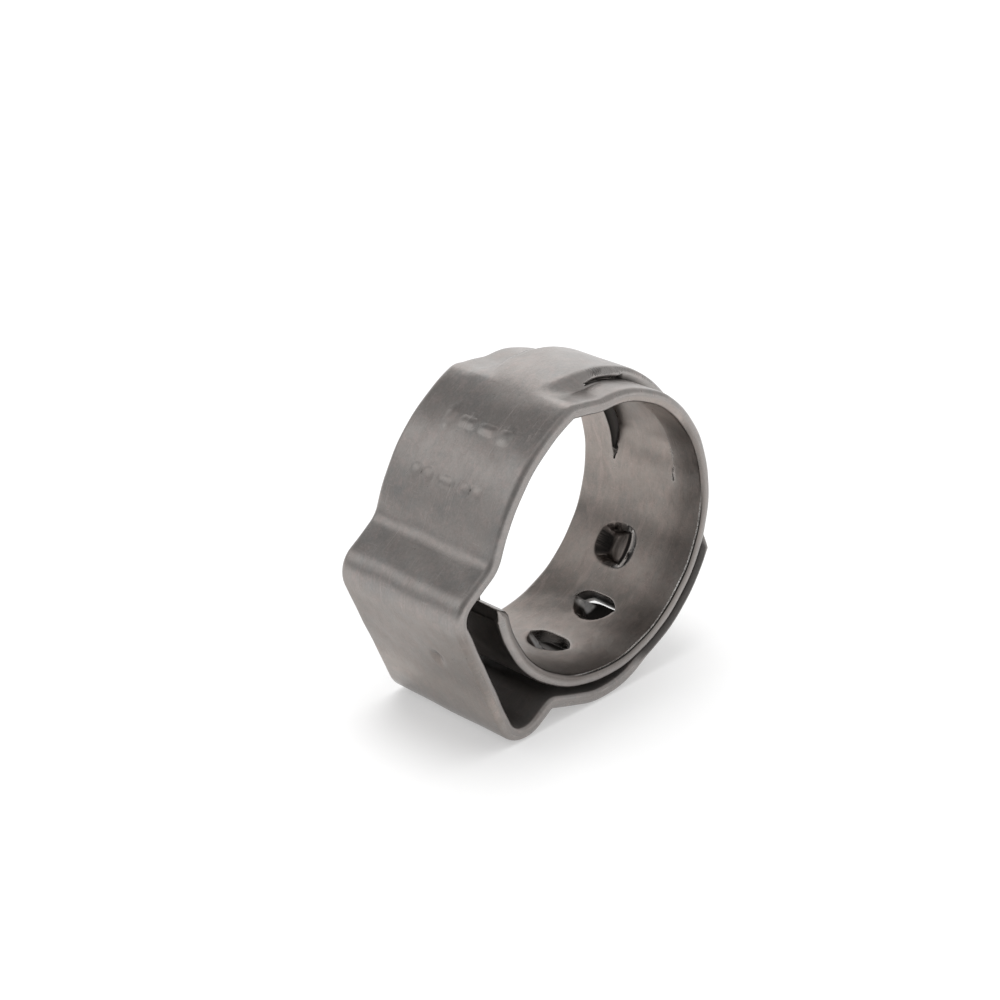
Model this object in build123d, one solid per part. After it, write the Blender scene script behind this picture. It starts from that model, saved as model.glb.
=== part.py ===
from build123d import *
import os
from math import cos, sin, radians, pi

# ---------------------------------------------------------------------------
# One-ear hose clamp folded from a single stainless strip, millimetres.
# Section frame of the ring: p to the right, q up, u along the bore axis
# (u positive towards the front rim).  Angles run anticlockwise from +p.
# ---------------------------------------------------------------------------
bore_d = 11.8          # free bore of the ring
band_w = 7.0           # strip width
band_t = 0.6           # strip thickness
edge_r = 0.24          # rounded long edges of the strip
rest_tilt = 12.822      # the ring is turned by this so ear corner and tail stand level
stand_flat = 0.015     # depth of the flat spot where the ear corner and the tail stand

R1 = bore_d / 2        # inner surface of the ring
R2 = R1 + band_t       # outer surface of the inner layer
half_w = band_w / 2
half_t = band_t / 2
mid_u = 0.12           # tongue, channel and hooks sit this far forward of mid-width

# tail, the outer layer that carries the windows
lap_gap = 0.03                         # free gap between the two layers
tail_rc = R2 + lap_gap + half_t        # tail centreline radius
tail_corner = -9.2                     # angle where the tail's side edges stop
tail_tip = 2.5                         # angle of the tail's end edge
tail_tip_w = 4.2                       # width of the end edge between its cut corners
tail_tangent = -52.77                  # angle where the tail leaves the circle

# ear and foot corner points of the centreline, (p, q), and bend radii
ear_top = (-8.274, -2.380)
ear_low = (-3.552, -8.716)
foot_in = (-1.830, -6.970)
foot_set = 2.850                       # straight run before the tail circle
bend_left = 1.50
bend_top = 1.04
bend_low = 1.22
bend_foot = 0.50
bend_set = 4.20

# left crown, the outer layer over the tongue
crown_c = (1.095, -0.450)
crown_r = 7.600
crown_low = 172.27                     # angle about crown_c where the left foot starts
crown_foot_run = 1.010
split_a = 127.0                        # angle about crown_c where the three strips part

# raised channel over the tongue
chan_half = 1.735                      # half width between the two slits
slit = 0.04                            # shear gap of each slit
chan_rc = 6.70                         # centreline radius of the raised strip
chan_on = 98.0                         # raised strip reaches its circle
chan_ramp = 30.0                       # raised strip starts down
chan_end = 14.0                        # raised strip is back on the ring

# tongue that bridges the gap under the ear side
tongue_t = 0.30
tongue_half = 1.62
tongue_rc = R1 - 0.09 + tongue_t / 2
shoulder = 200.5                       # full width ends here, on the outer side
shoulder_bevel = 5.0                   # the end is sheared at a slant over this angle
tongue_tip = 101.0

# closing hooks: drawn scoops whose cut face looks to the tail's end
hook_cut = (-43.8, -72.8)
hook_len = 1.40                        # inside length of the scoop
hook_in = 1.02                         # inside radius of the scoop
hook_skin = 0.32                       # wall of the drawn scoop
hook_seat = R1 + 0.05                  # radius at which the scoop's axis lies

# guide lug near the tail's end, joined along its back edge, open at the front
lug_a0, lug_a1 = -30.4, -11.8
lug_u0, lug_u1 = -1.58, 0.43

# windows in the tail: low angle, high angle, back u, front u
windows = (
    (-91.5, -71.4, mid_u - 1.72, mid_u + 1.72),
    (-62.0, -43.2, mid_u - 1.32, mid_u + 1.72),
    (-33.4, -9.0, -2.25, 0.95),
)
window_r = 0.35

# shallow dimple on the ear's flat face
dimple_at = (-6.80, -5.02)
dimple_u = 1.25
dimple_r = 2.2
dimple_depth = 0.10


def polar(r, a, u=0.0):
    return Vector(r * cos(radians(a)), r * sin(radians(a)), u)


def along(a):
    """Unit tangent of the circle at angle a, towards falling angles."""
    return Vector(sin(radians(a)), -cos(radians(a)), 0)


def arc(r, a0, a1, c=(0, 0)):
    """Arc about c from angle a0 to a1 through the middle angle."""
    o = Vector(c[0], c[1], 0)
    return ThreePointArc(o + polar(r, a0), o + polar(r, (a0 + a1) / 2), o + polar(r, a1))


def section(path, thick, u0, u1, round0, round1):
    """Strip section at the start of a path, rounded at the sides asked for."""
    start = Plane(origin=path @ 0, x_dir=(0, 0, 1), z_dir=path % 0)
    h = thick / 2
    r = min(edge_r, h * 0.8)
    face = make_face(Polyline((u0, -h), (u1, -h), (u1, h), (u0, h), close=True))
    if round0:
        face = fillet([v for v in face.vertices() if abs(v.X - u0) < 1e-6], r)
    if round1:
        face = fillet([v for v in face.vertices() if abs(v.X - u1) < 1e-6], r)
    return start * face


def strip(edges, thick, u0=-half_w, u1=half_w, round0=True, round1=True):
    path = Wire(list(edges))
    return sweep(section(path, thick, u0, u1, round0, round1), path=path)


# --- outer layer: tail, foot, ear, left foot, crown -------------------------
crown_o = Vector(crown_c[0], crown_c[1], 0)
crown_end = crown_o + polar(crown_r, crown_low)
crown_dir = Vector(-sin(radians(crown_low)), cos(radians(crown_low)), 0)
left_foot = crown_end + crown_dir * crown_foot_run
tail_start = polar(tail_rc, tail_tangent)
tail_run = tail_start + along(tail_tangent) * foot_set

ear_wire = FilletPolyline(
    tail_start,
    tail_run,
    Vector(*foot_in, 0),
    Vector(*ear_low, 0),
    Vector(*ear_top, 0),
    left_foot,
    crown_end,
    radius=[bend_set, bend_foot, bend_low, bend_top, bend_left],
)
outer_edges = (
    [arc(tail_rc, tail_tip, tail_tangent)]
    + list(ear_wire.edges().sort_by(ear_wire))
    + [arc(crown_r, crown_low, split_a, crown_c)]
)
outer = strip(outer_edges, band_t)

# cut corners of the tail's end
run = 2 * pi * tail_rc * (tail_tip - tail_corner) / 360
tip = Plane(origin=polar(R2 - 0.4, tail_tip), x_dir=(0, 0, 1), z_dir=polar(1, tail_tip))
for side in (1, -1):
    corner = make_face(
        Polyline(
            (side * tail_tip_w / 2, 0),
            (side * half_w, run),
            (side * (half_w + 1), run),
            (side * (half_w + 1), -1),
            (side * tail_tip_w / 2, -1),
            close=True,
        )
    )
    corner = extrude(tip * corner, amount=1.6, both=True)
    outer -= corner

# windows
for a0, a1, u0, u1 in windows:
    mid = (a0 + a1) / 2
    chord = 2 * (tail_rc + 0.1) * sin(radians((a1 - a0) / 2))
    frame = Plane(
        origin=polar(R2 - 0.3, mid, (u0 + u1) / 2),
        x_dir=(0, 0, 1),
        z_dir=polar(1, mid),
    )
    outer -= extrude(frame * RectangleRounded(u1 - u0, chord, window_r), amount=2.2)

# dimple on the ear's flat face
leg = (Vector(*ear_low, 0) - Vector(*ear_top, 0)).normalized()
out = Vector(leg.Y, -leg.X, 0)
foot = Vector(*ear_top, 0) + leg * (Vector(*dimple_at, 0) - Vector(*ear_top, 0)).dot(leg)
ball = foot + out * (half_t - dimple_depth + dimple_r) + Vector(0, 0, dimple_u)
outer -= Pos(ball) * Sphere(dimple_r)

# --- centre strip raised into a channel --------------------------------------
split_pt = crown_o + polar(crown_r, split_a)
split_dir = along(split_a)
raised = [
    Spline(
        split_pt,
        polar(6.655, 116.0),
        polar(6.690, 109.0),
        polar(chan_rc, chan_on),
        tangents=[split_dir, along(chan_on)],
    ),
    arc(chan_rc, chan_on, chan_ramp),
    Spline(
        polar(chan_rc, chan_ramp),
        polar((chan_rc + R1 + half_t) / 2, (chan_ramp + chan_end) / 2),
        polar(R1 + half_t, chan_end),
        tangents=[along(chan_ramp), along(chan_end)],
    ),
]
channel = strip(raised, band_t, mid_u - chan_half, mid_u + chan_half, False, False)

# --- side strips stepping down to the ring -----------------------------------
lowered = [
    Spline(
        split_pt,
        polar(6.500, 118.3),
        polar(6.300, 112.4),
        polar(6.125, 105.6),
        polar(6.140, 99.8),
        polar(R1 + half_t, 92.0),
        tangents=[split_dir, along(92.0)],
    ),
    arc(R1 + half_t, 92.0, chan_end),
]
front = strip(lowered, band_t, mid_u + chan_half + slit, half_w, False, True)
back = strip(lowered, band_t, -half_w, mid_u - chan_half - slit, True, False)

# --- inner layer at full width, then the tongue ------------------------------
inner = strip([arc(R1 + half_t, chan_end, shoulder - 360)], band_t)
slant = shoulder_bevel / band_t        # degrees per millimetre of depth
shear = make_face(
    Polyline(
        polar(R2 + 0.2, shoulder - 0.2 * slant),
        polar(R1 - 0.2, shoulder + shoulder_bevel + 0.2 * slant),
        polar(R1 - 0.2, shoulder - 6),
        polar(R2 + 0.2, shoulder - 6),
        close=True,
    )
)
inner -= extrude(shear, amount=band_w, both=True)

tongue_path = [
    Spline(
        polar(R1 + half_t - 0.1, shoulder + 7),
        polar(R1 + half_t - 0.13, shoulder),
        polar(tongue_rc, shoulder - 14),
        tangents=[along(shoulder + 7), along(shoulder - 14)],
    ),
    arc(tongue_rc, shoulder - 14, tongue_tip),
]
tongue = strip(tongue_path, tongue_t, mid_u - tongue_half, mid_u + tongue_half, True, True)

# closing hooks
ring_core = Cylinder(R1, 3 * band_w)
for cut in hook_cut:
    here = Plane(
        origin=polar(hook_seat, cut, mid_u),
        x_dir=along(cut),
        z_dir=polar(1, cut),
    )

    def scoop(length, radius):
        quarter = make_face(
            EllipticalCenterArc((0, 0), length, radius, start_angle=0, arc_size=90)
            + Line((0, radius), (0, 0))
            + Line((0, 0), (length, 0))
        )
        return here * revolve(quarter, axis=Axis.X, revolution_arc=360)

    inner = inner + (scoop(hook_len + hook_skin, hook_in + hook_skin) - ring_core)
    inner = inner - scoop(hook_len, hook_in)

# guide lug
lug_mid = (lug_a0 + lug_a1) / 2
lug_chord = 2 * R1 * sin(radians((lug_a1 - lug_a0) / 2))
lug_plane = Plane(
    origin=polar(R1 - 0.5, lug_mid, (lug_u0 + lug_u1) / 2),
    x_dir=(0, 0, 1),
    z_dir=polar(1, lug_mid),
)
lug_len = lug_u1 - lug_u0
opening = make_face(
    Polyline(
        (-lug_len / 2, -lug_chord / 2),
        (lug_len / 2, -lug_chord / 2),
        (lug_len / 2, lug_chord / 2),
        (-lug_len / 2, lug_chord / 2),
        close=True,
    )
)
opening = fillet([v for v in opening.vertices() if v.X < 0], 0.86)
opening = fillet([v for v in opening.vertices() if v.X > lug_len / 2 - 1e-6], 0.34)
inner = inner - extrude(lug_plane * opening, amount=1.6)

lug_face = make_face(
    Polyline(
        (R1 + 0.02, lug_u0 - 0.40),
        (R1 + 0.02, lug_u0 + 0.02),
        (R1 + 0.50, lug_u0 + 0.16),
        (R1 + 0.68, lug_u0 + 0.36),
        (R1 + 0.70, lug_u0 + 1.08),
        (R1 + 1.22, lug_u0 + 1.08),
        (R1 + 1.20, lug_u0 + 0.15),
        (R1 + 1.02, lug_u0 - 0.20),
        (R2 - 0.04, lug_u0 - 0.40),
        close=True,
    )
)
lug_side = Plane(origin=(0, 0, 0), x_dir=polar(1, lug_a0 + 0.6), z_dir=along(lug_a0 + 0.6))
lug = revolve(
    lug_side * (Rot(0, 0, 0) * lug_face),
    axis=Axis.Z,
    revolution_arc=(lug_a1 - lug_a0) - 1.2,
)
inner = inner + lug

clamp = outer + channel + front + back + inner + tongue
print("solids", len(clamp.solids()), "volume", round(clamp.volume, 3), "valid", clamp.is_valid)

# stand the ring up: bore axis along Y with the front rim towards -Y
clamp = Plane.XZ.location * (Rot(0, 0, -rest_tilt) * clamp)
under = clamp.bounding_box().min.Z + stand_flat
clamp = clamp - Pos(0, 0, under - 1) * Box(30, 30, 2)
box = clamp.bounding_box()
print("solids", len(clamp.solids()), "volume", round(clamp.volume, 3), "valid", clamp.is_valid)
print("box", box.min, box.max, "centre of mass", clamp.center(CenterOf.MASS))

os.makedirs("parts", exist_ok=True)
body = clamp.solids()[0] if len(clamp.solids()) == 1 else clamp
export_step(body, "parts/clamp_band.step")
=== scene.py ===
import math

import bpy
import numpy as np
from mathutils import Matrix, Vector
from mathutils.geometry import delaunay_2d_cdt


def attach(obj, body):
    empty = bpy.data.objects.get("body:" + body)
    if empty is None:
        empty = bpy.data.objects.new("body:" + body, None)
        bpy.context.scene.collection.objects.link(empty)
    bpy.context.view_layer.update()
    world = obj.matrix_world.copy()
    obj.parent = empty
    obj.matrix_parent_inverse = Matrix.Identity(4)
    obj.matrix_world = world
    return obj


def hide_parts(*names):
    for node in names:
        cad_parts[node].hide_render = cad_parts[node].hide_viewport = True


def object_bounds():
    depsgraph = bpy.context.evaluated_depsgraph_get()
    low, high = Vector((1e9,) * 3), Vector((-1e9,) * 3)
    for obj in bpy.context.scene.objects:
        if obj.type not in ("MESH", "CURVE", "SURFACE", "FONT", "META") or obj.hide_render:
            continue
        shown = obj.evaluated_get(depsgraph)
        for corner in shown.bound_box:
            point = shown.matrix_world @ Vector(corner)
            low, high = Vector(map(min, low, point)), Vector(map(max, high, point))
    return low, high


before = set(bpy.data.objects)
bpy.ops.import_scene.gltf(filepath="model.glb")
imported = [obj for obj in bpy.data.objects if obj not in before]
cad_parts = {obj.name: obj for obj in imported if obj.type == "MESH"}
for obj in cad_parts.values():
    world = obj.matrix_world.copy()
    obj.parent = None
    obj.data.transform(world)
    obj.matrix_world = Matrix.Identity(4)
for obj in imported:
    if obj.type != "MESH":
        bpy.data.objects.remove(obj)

cad_lo, cad_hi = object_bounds()

# ---------------------------------------------------------------------------
# The strip, in millimetres.  Ring coordinates: p right, q up, u along the bore
# (positive to the front rim).  s runs along the strip from the tail's end over
# the foot, the ear and the crown to the tongue's end; n is outward.
# ---------------------------------------------------------------------------
R1 = 5.9
W = 3.5
T = 0.3                 # half thickness
EDGE_MAX = 0.27         # widest rounding anywhere on the outline
EDGE = 0.14             # rounding of the rolled long edges
CUT = 0.055             # rounding of the sheared edges
TILT = math.radians(12.822)
MID = 0.12

TAIL_R = R1 + 0.6 + 0.03 + T
TAIL_CORNER, TAIL_TIP, TAIL_TIP_W, TAIL_TAN = -9.2, 2.5, 4.2, -52.77
EAR_TOP = np.array([-8.274, -2.380])
EAR_LOW = np.array([-3.552, -8.716])
FOOT_IN = np.array([-1.830, -6.970])
FOOT_SET = 2.850
CROWN_C = np.array([1.095, -0.450])
CROWN_R, CROWN_LOW, CROWN_RUN, SPLIT_A = 7.600, 172.27, 1.010, 127.0
CH_HALF, SLIT = 1.735, 0.04
CH_R, CH_ON, CH_RAMP, CH_END = 6.70, 98.0, 30.0, 14.0
SHOULDER, TONGUE_TIP = 200.5 - 360, 101.0 - 360
TONGUE_W, TONGUE_T = 1.62, 0.15
TONGUE_R = R1 - 0.09 + TONGUE_T
HOOKS = (-43.8, -72.8)
LUG_A0, LUG_A1, LUG_U0, LUG_U1 = -30.4, -11.8, -1.58, 0.43
WINDOWS = ((-91.5, -71.4, MID - 1.72, MID + 1.72),
           (-62.0, -43.2, MID - 1.32, MID + 1.72),
           (-33.4, -9.0, -2.25, 0.95))


def unit(v):
    return v / np.hypot(*v)


def pol(r, a):
    a = math.radians(a)
    return np.array([r * math.cos(a), r * math.sin(a)])


def falling(a):
    a = math.radians(a)
    return np.array([math.sin(a), -math.cos(a)])


# --- centreline of the outer layer as exact lines and arcs -------------------
segs = []               # (kind, length, data)


def add_arc(c, r, a0, a1):
    segs.append(("arc", abs(a1 - a0) * math.pi / 180 * r, (np.array(c, float), r, math.radians(a0), math.radians(a1))))


def add_line(p0, p1):
    segs.append(("line", float(np.hypot(*(p1 - p0))), (p0, p1)))


add_arc((0, 0), TAIL_R, TAIL_TIP, TAIL_TAN)
tail_start = pol(TAIL_R, TAIL_TAN)
tail_run = tail_start + falling(TAIL_TAN) * FOOT_SET
crown_end = CROWN_C + pol(CROWN_R, CROWN_LOW)
crown_dir = np.array([-math.sin(math.radians(CROWN_LOW)), math.cos(math.radians(CROWN_LOW))])
left_foot = crown_end + crown_dir * CROWN_RUN
corners = [tail_start, tail_run, FOOT_IN, EAR_LOW, EAR_TOP, left_foot, crown_end]
radii = [4.20, 0.50, 1.22, 1.04, 1.50]
at = corners[0]
for k, r in enumerate(radii):
    a, b, c = corners[k], corners[k + 1], corners[k + 2]
    d0, d1 = unit(b - a), unit(c - b)
    turn = math.atan2(d0[0] * d1[1] - d0[1] * d1[0], float(d0 @ d1))
    back = r * math.tan(abs(turn) / 2)
    p0, p1 = b - d0 * back, b + d1 * back
    add_line(at, p0)
    side = math.copysign(1, turn)
    centre = p0 + side * r * np.array([-d0[1], d0[0]])
    a0 = math.degrees(math.atan2(*(p0 - centre)[::-1]))
    add_arc(centre, r, a0, a0 + math.degrees(turn))
    at = p1
add_line(at, corners[-1])
add_arc(CROWN_C, CROWN_R, CROWN_LOW, SPLIT_A)
seg_at = np.concatenate([[0], np.cumsum([g[1] for g in segs])])
S_SPLIT = float(seg_at[-1])
split_pt = CROWN_C + pol(CROWN_R, SPLIT_A)
A_SPLIT = math.degrees(math.atan2(split_pt[1], split_pt[0]))
S_PER_DEG = 6.3 * math.pi / 180


def s_of(a):
    """Strip coordinate of ring angle a beyond the split."""
    return S_SPLIT + (A_SPLIT - a) * S_PER_DEG


def a_of(s):
    return A_SPLIT - (s - S_SPLIT) / S_PER_DEG


def s_tail(a):
    """Strip coordinate of ring angle a on the tail."""
    return (TAIL_TIP - a) * math.pi / 180 * TAIL_R


def clamped(xs, ys, m0, m1):
    """Natural coefficients of a cubic spline with end slopes m0 and m1."""
    xs, ys = np.array(xs, float), np.array(ys, float)
    n = len(xs)
    h = np.diff(xs)
    A, B = np.zeros((n, n)), np.zeros(n)
    A[0, 0] = A[-1, -1] = 1
    B[0], B[-1] = m0, m1
    for i in range(1, n - 1):
        A[i, i - 1], A[i, i], A[i, i + 1] = 1 / h[i - 1], 2 / h[i - 1] + 2 / h[i], 1 / h[i]
        B[i] = 3 * ((ys[i] - ys[i - 1]) / h[i - 1] ** 2 + (ys[i + 1] - ys[i]) / h[i] ** 2)
    return xs, ys, np.linalg.solve(A, B)


def spline(c, x):
    xs, ys, m = c
    i = np.clip(np.searchsorted(xs, x) - 1, 0, len(xs) - 2)
    h = xs[i + 1] - xs[i]
    t = np.clip((x - xs[i]) / h, 0, 1)
    return (ys[i] * (1 + 2 * t) * (1 - t) ** 2 + ys[i + 1] * t * t * (3 - 2 * t)
            + m[i] * h * t * (1 - t) ** 2 - m[i + 1] * h * t * t * (1 - t))


# radius against ring angle past the split, rising angles for the spline
RS = float(np.hypot(*split_pt))
tang = falling(0) * 0
d_split = np.array([math.sin(math.radians(SPLIT_A)), -math.cos(math.radians(SPLIT_A))])
er = split_pt / RS
et = np.array([-er[1], er[0]])
SLOPE = float(d_split @ er) / float(d_split @ et) * RS * math.pi / 180      # dr/da at the split, mm per degree
ring_r = R1 + T
side_c = clamped([92.0, 99.8, 105.6, 112.4, 118.3, A_SPLIT], [ring_r, 6.160, 6.140, 6.300, 6.500, RS], 0.0, SLOPE)
cent_c = clamped([CH_ON, 109.0, 116.0, A_SPLIT], [CH_R, 6.690, 6.655, RS], 0.0, SLOPE)
ramp_c = clamped([CH_END, (CH_END + CH_RAMP) / 2, CH_RAMP], [ring_r, (CH_R + ring_r) / 2, CH_R], 0.0, 0.0)


def ss(x, a, b):
    t = np.clip((x - a) / (b - a), 0, 1)
    return t * t * (3 - 2 * t)


def radius_side(a):
    return np.where(a > 92.0, spline(side_c, np.clip(a, 92.0, A_SPLIT)), ring_r)


def radius_mid(a):
    r = np.where(a > CH_ON, spline(cent_c, np.clip(a, CH_ON, A_SPLIT)), CH_R)
    return np.where(a < CH_RAMP, spline(ramp_c, np.clip(a, CH_END, CH_RAMP)), r)


def radius_inner(a):
    """Full-width layer and the tongue."""
    t = ss(-a, -(SHOULDER + 1), -(SHOULDER - 16))
    return ring_r + (TONGUE_R - ring_r) * t


SLIT_A0, SLIT_A1 = 103.2, 15.2          # the slits open between these angles


def blend_width(a):
    """Width over which the raised strip falls to the side strips."""
    w = 0.46 + 0.30 * ss(a, 104.0, 112.0) + 0.95 * ss(a, 108.0, 121.5)
    w = np.where(a < 104.0, 0.03 + 0.43 * np.clip((a - 80.0) / 24.0, 0, 1), w)
    w = np.where(a < 24.0, 0.03 + 0.30 * ss(-a, -22.0, -15.0), w)
    return w


def base(s, u):
    """Mid-surface of the strip before its local forms."""
    s, u = np.asarray(s, float), np.asarray(u, float)
    out = np.zeros(s.shape + (2,))
    i = np.clip(np.searchsorted(seg_at, s, side="right") - 1, 0, len(segs) - 1)
    for k, (kind, length, d) in enumerate(segs):
        m = (i == k) & (s <= S_SPLIT)
        if not m.any():
            continue
        t = (s[m] - seg_at[k]) / length
        if kind == "line":
            out[m] = d[0] + (d[1] - d[0]) * t[:, None]
        else:
            a = d[2] + (d[3] - d[2]) * t
            out[m] = d[0] + d[1] * np.stack([np.cos(a), np.sin(a)], -1)
    m = s > S_SPLIT
    if m.any():
        a = a_of(s[m])
        uu = np.abs(u[m] - MID)
        wdt = blend_width(a)
        w = 1 - ss(uu, CH_HALF + SLIT / 2 - wdt / 2, CH_HALF + SLIT / 2 + wdt / 2)
        r = radius_side(a) + (radius_mid(a) - radius_side(a)) * w
        r = np.where(a < CH_END, radius_inner(a), r)
        ar = np.radians(a)
        out[m] = r[:, None] * np.stack([np.cos(ar), np.sin(ar)], -1)
    return out


# --- local forms: drawn hooks, guide lug, dimple, pips, soft waves ------------
S_HOOK = [s_of(a) for a in HOOKS]
HOOK_L, HOOK_W, HOOK_H, HOOK_T = 1.50, 1.13, 0.93, 0.17
HOOK_END = 1.14                         # half width over which the sheet is cut through
S_LUG = s_of((LUG_A0 + LUG_A1) / 2)
S_SH = s_of(SHOULDER)
LUG_L = (LUG_A1 - LUG_A0) / 2 * S_PER_DEG
LUG_C, LUG_FAR, LUG_NEAR = -0.34, 1.25, 0.77
LUG_P = 2.5


def hook_cut(v):
    """How far the cut of a hook bends back towards its closed end."""
    return 0.52 * np.minimum(np.abs(v) / HOOK_END, 1.15) ** 4


def lug_cut(w):
    """The guide lug's cut edge: u against the place along its length, -1 to 1."""
    return LUG_C + LUG_NEAR * np.clip(1 - np.minimum(np.abs(w), 1.0) ** LUG_P, 0, 1) ** (1 / LUG_P)


S_CROWN = float(seg_at[-2])             # where the crown's arc starts, near the left foot


def dome(rho):
    """Profile of a drawn scoop over its footprint: steep wall, round top, small blend at the foot."""
    rho = np.clip(rho, 0, 1.12)
    f = np.sqrt(np.clip(1 - (rho * 0.985) ** 2.3, 0, 1))
    return f * (1 - ss(rho, 0.90, 1.10) ** 2)


def pips():
    """Raised generic marks on the crown: s from the crown's start, u, half length, half width."""
    return [(3.95, -1.50, 0.52, 0.13), (3.95, -0.45, 0.13, 0.36), (3.95, 0.65, 0.13, 0.36), (3.90, 1.65, 0.23, 0.23),
            (1.45, -1.85, 0.19, 0.19), (1.45, -1.15, 0.19, 0.19), (1.45, -0.10, 0.13, 0.38),
            (1.45, 0.95, 0.19, 0.19), (1.45, 1.65, 0.19, 0.19)]


PIPS = pips()
DIMPLE = (-6.80, -5.02, 1.25)
BEVEL = 0.52                            # run of the slanted shear at the shoulder
face_k = [k for k, g in enumerate(segs) if g[0] == "line"][3]
face_p0, face_p1 = segs[face_k][2]
S_DIMPLE = float(seg_at[face_k] + (np.array(DIMPLE[:2]) - face_p0) @ unit(face_p1 - face_p0))


def local(s, u):
    """Outward offset, sideways offset and half thickness from the local forms."""
    n = np.zeros_like(s)
    du = np.zeros_like(s)
    t = np.full_like(s, T)
    for k, sh in enumerate(S_HOOK):
        x, v = s - sh, u - MID
        on = x - hook_cut(v) > -1e-7
        rho = np.sqrt(np.clip(x / HOOK_L, 0, None) ** 2 + (v / HOOK_W) ** 2)
        n = n + HOOK_H * np.where(on, dome(rho), 0)
        t = t + (HOOK_T - T) * np.where(on, 1 - ss(rho, 0.72, 1.16), 0)
    w, y = (s - S_LUG) / LUG_L, u - LUG_C
    on = u <= lug_cut(w) + 1e-7
    rho = (np.abs(w) ** LUG_P + np.abs(np.minimum(y, 0) / LUG_FAR) ** LUG_P) ** (1 / LUG_P)
    f = np.where(on, np.clip(1 - np.minimum(rho * 0.99, 1) ** 5, 0, 1) ** 0.55 * (1 - ss(rho, 0.94, 1.10)), 0)
    n = n + 0.82 * f
    du = du - 0.92 * f * ss(y, -LUG_FAR * 0.75, LUG_NEAR)
    t = t + (0.21 - T) * np.where(on, 1 - ss(rho, 0.8, 1.12), 0)
    # dimple on the ear's flat face
    dd = np.sqrt(((s - S_DIMPLE) / 0.62) ** 2 + ((u - DIMPLE[2]) / 0.50) ** 2)
    n = n - 0.13 * (1 - ss(dd, 0.05, 1.0))
    # raised marks
    for sc, uc, hl, hw in PIPS:
        q = np.sqrt(np.clip(np.abs(s - S_CROWN - sc) - (hl - 0.13), 0, None) ** 2
                    + np.clip(np.abs(u - uc) - (hw - 0.13), 0, None) ** 2)
        n = n + 0.050 * (1 - ss(q, 0.0, 0.30))
    # tongue
    thin = ss(s, s_of(SHOULDER + 1), s_of(SHOULDER - 14))
    t = t + (TONGUE_T - T) * thin
    # slanted shear of the full-width end, outer edge standing furthest
    bev = ss(np.abs(u - MID), TONGUE_W - 0.02, TONGUE_W + 0.20) * np.clip((s - S_SH + BEVEL) / BEVEL, 0, 1)
    n = n + (T - 0.045) * bev
    t = t - (T - 0.045) * bev
    return n, du, t


def waves(s, u):
    """Slow unevenness of a hand-sized pressing, a few hundredths of a millimetre."""
    return (0.012 * np.sin(0.9 * s + 0.5 * u) * np.cos(0.7 * u + 0.3)
            + 0.008 * np.sin(2.1 * s - 1.1 * u + 0.8)
            + 0.005 * np.sin(3.7 * s + 2.3 * u))


def mid(s, u):
    """Mid-surface with its local forms, in ring coordinates."""
    e = 0.004
    b = base(s, u)
    d = base(s + e, u) - base(s - e, u)
    d /= np.maximum(np.hypot(d[..., 0], d[..., 1]), 1e-12)[..., None]
    nrm = np.stack([-d[..., 1], d[..., 0]], -1)
    n, du, t = local(s, u)
    n = n + waves(s, u) * (1 - ss(s, S_SH - 2.0, S_SH))
    xy = b + nrm * n[..., None]
    return np.concatenate([xy, (u + du)[..., None]], -1), t


def surface(s, u, side_s, side_u):
    """Mid-surface point, outward unit normal and half thickness; side_* step away from cuts."""
    e = 0.006
    P, t = mid(s, u)
    Ps, _ = mid(s + side_s * e, u)
    Pu, _ = mid(s, u + side_u * e)
    ds = (Ps - P) * side_s[..., None]
    du = (Pu - P) * side_u[..., None]
    N = np.cross(du, ds)
    N /= np.maximum(np.linalg.norm(N, axis=-1), 1e-12)[..., None]
    return P, N, t


# --- outline and cuts in the flat strip --------------------------------------
def rounded(points, radii_, step=0.10):
    """Closed polygon with rounded corners, sampled evenly; counter-clockwise in, counter-clockwise out."""
    pts = [np.array(p, float) for p in points]
    n = len(pts)
    out = []
    for i in range(n):
        a, b, c = pts[i - 1], pts[i], pts[(i + 1) % n]
        r = radii_[i] if isinstance(radii_, (list, tuple)) else radii_
        d0, d1 = unit(b - a), unit(c - b)
        turn = math.atan2(d0[0] * d1[1] - d0[1] * d1[0], float(d0 @ d1))
        if r <= 0 or abs(turn) < 1e-3:
            out.append(b)
            continue
        back = r * math.tan(abs(turn) / 2)
        p0 = b - d0 * back
        side = math.copysign(1, turn)
        centre = p0 + side * r * np.array([-d0[1], d0[0]])
        a0 = math.atan2(*(p0 - centre)[::-1])
        m = max(3, int(abs(turn) / math.radians(11)) + 1)
        for k in range(m + 1):
            ang = a0 + turn * k / m
            out.append(centre + r * np.array([math.cos(ang), math.sin(ang)]))
    dense = []
    for i in range(len(out)):
        a, b = out[i], out[(i + 1) % len(out)]
        L = np.hypot(*(b - a))
        m = max(1, int(math.ceil(L / step)))
        for k in range(m):
            dense.append(a + (b - a) * k / m)
    return np.array(dense)


def offset(poly, d):
    """Closed polygon moved to its left by d."""
    nxt, prv = np.roll(poly, -1, 0), np.roll(poly, 1, 0)
    e0, e1 = poly - prv, nxt - poly
    e0 /= np.hypot(e0[:, 0], e0[:, 1])[:, None]
    e1 /= np.hypot(e1[:, 0], e1[:, 1])[:, None]
    n0 = np.stack([-e0[:, 1], e0[:, 0]], 1)
    n1 = np.stack([-e1[:, 1], e1[:, 0]], 1)
    m = n0 + n1
    m /= np.hypot(m[:, 0], m[:, 1])[:, None]
    k = 1 / np.maximum((m * n0).sum(1), 0.5)
    return poly + m * (d * k)[:, None]


S_TIP = 0.0
S_CORNER = s_tail(TAIL_CORNER)
S_SH = s_of(SHOULDER)
S_END = s_of(TONGUE_TIP)
tw = TONGUE_W
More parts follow.
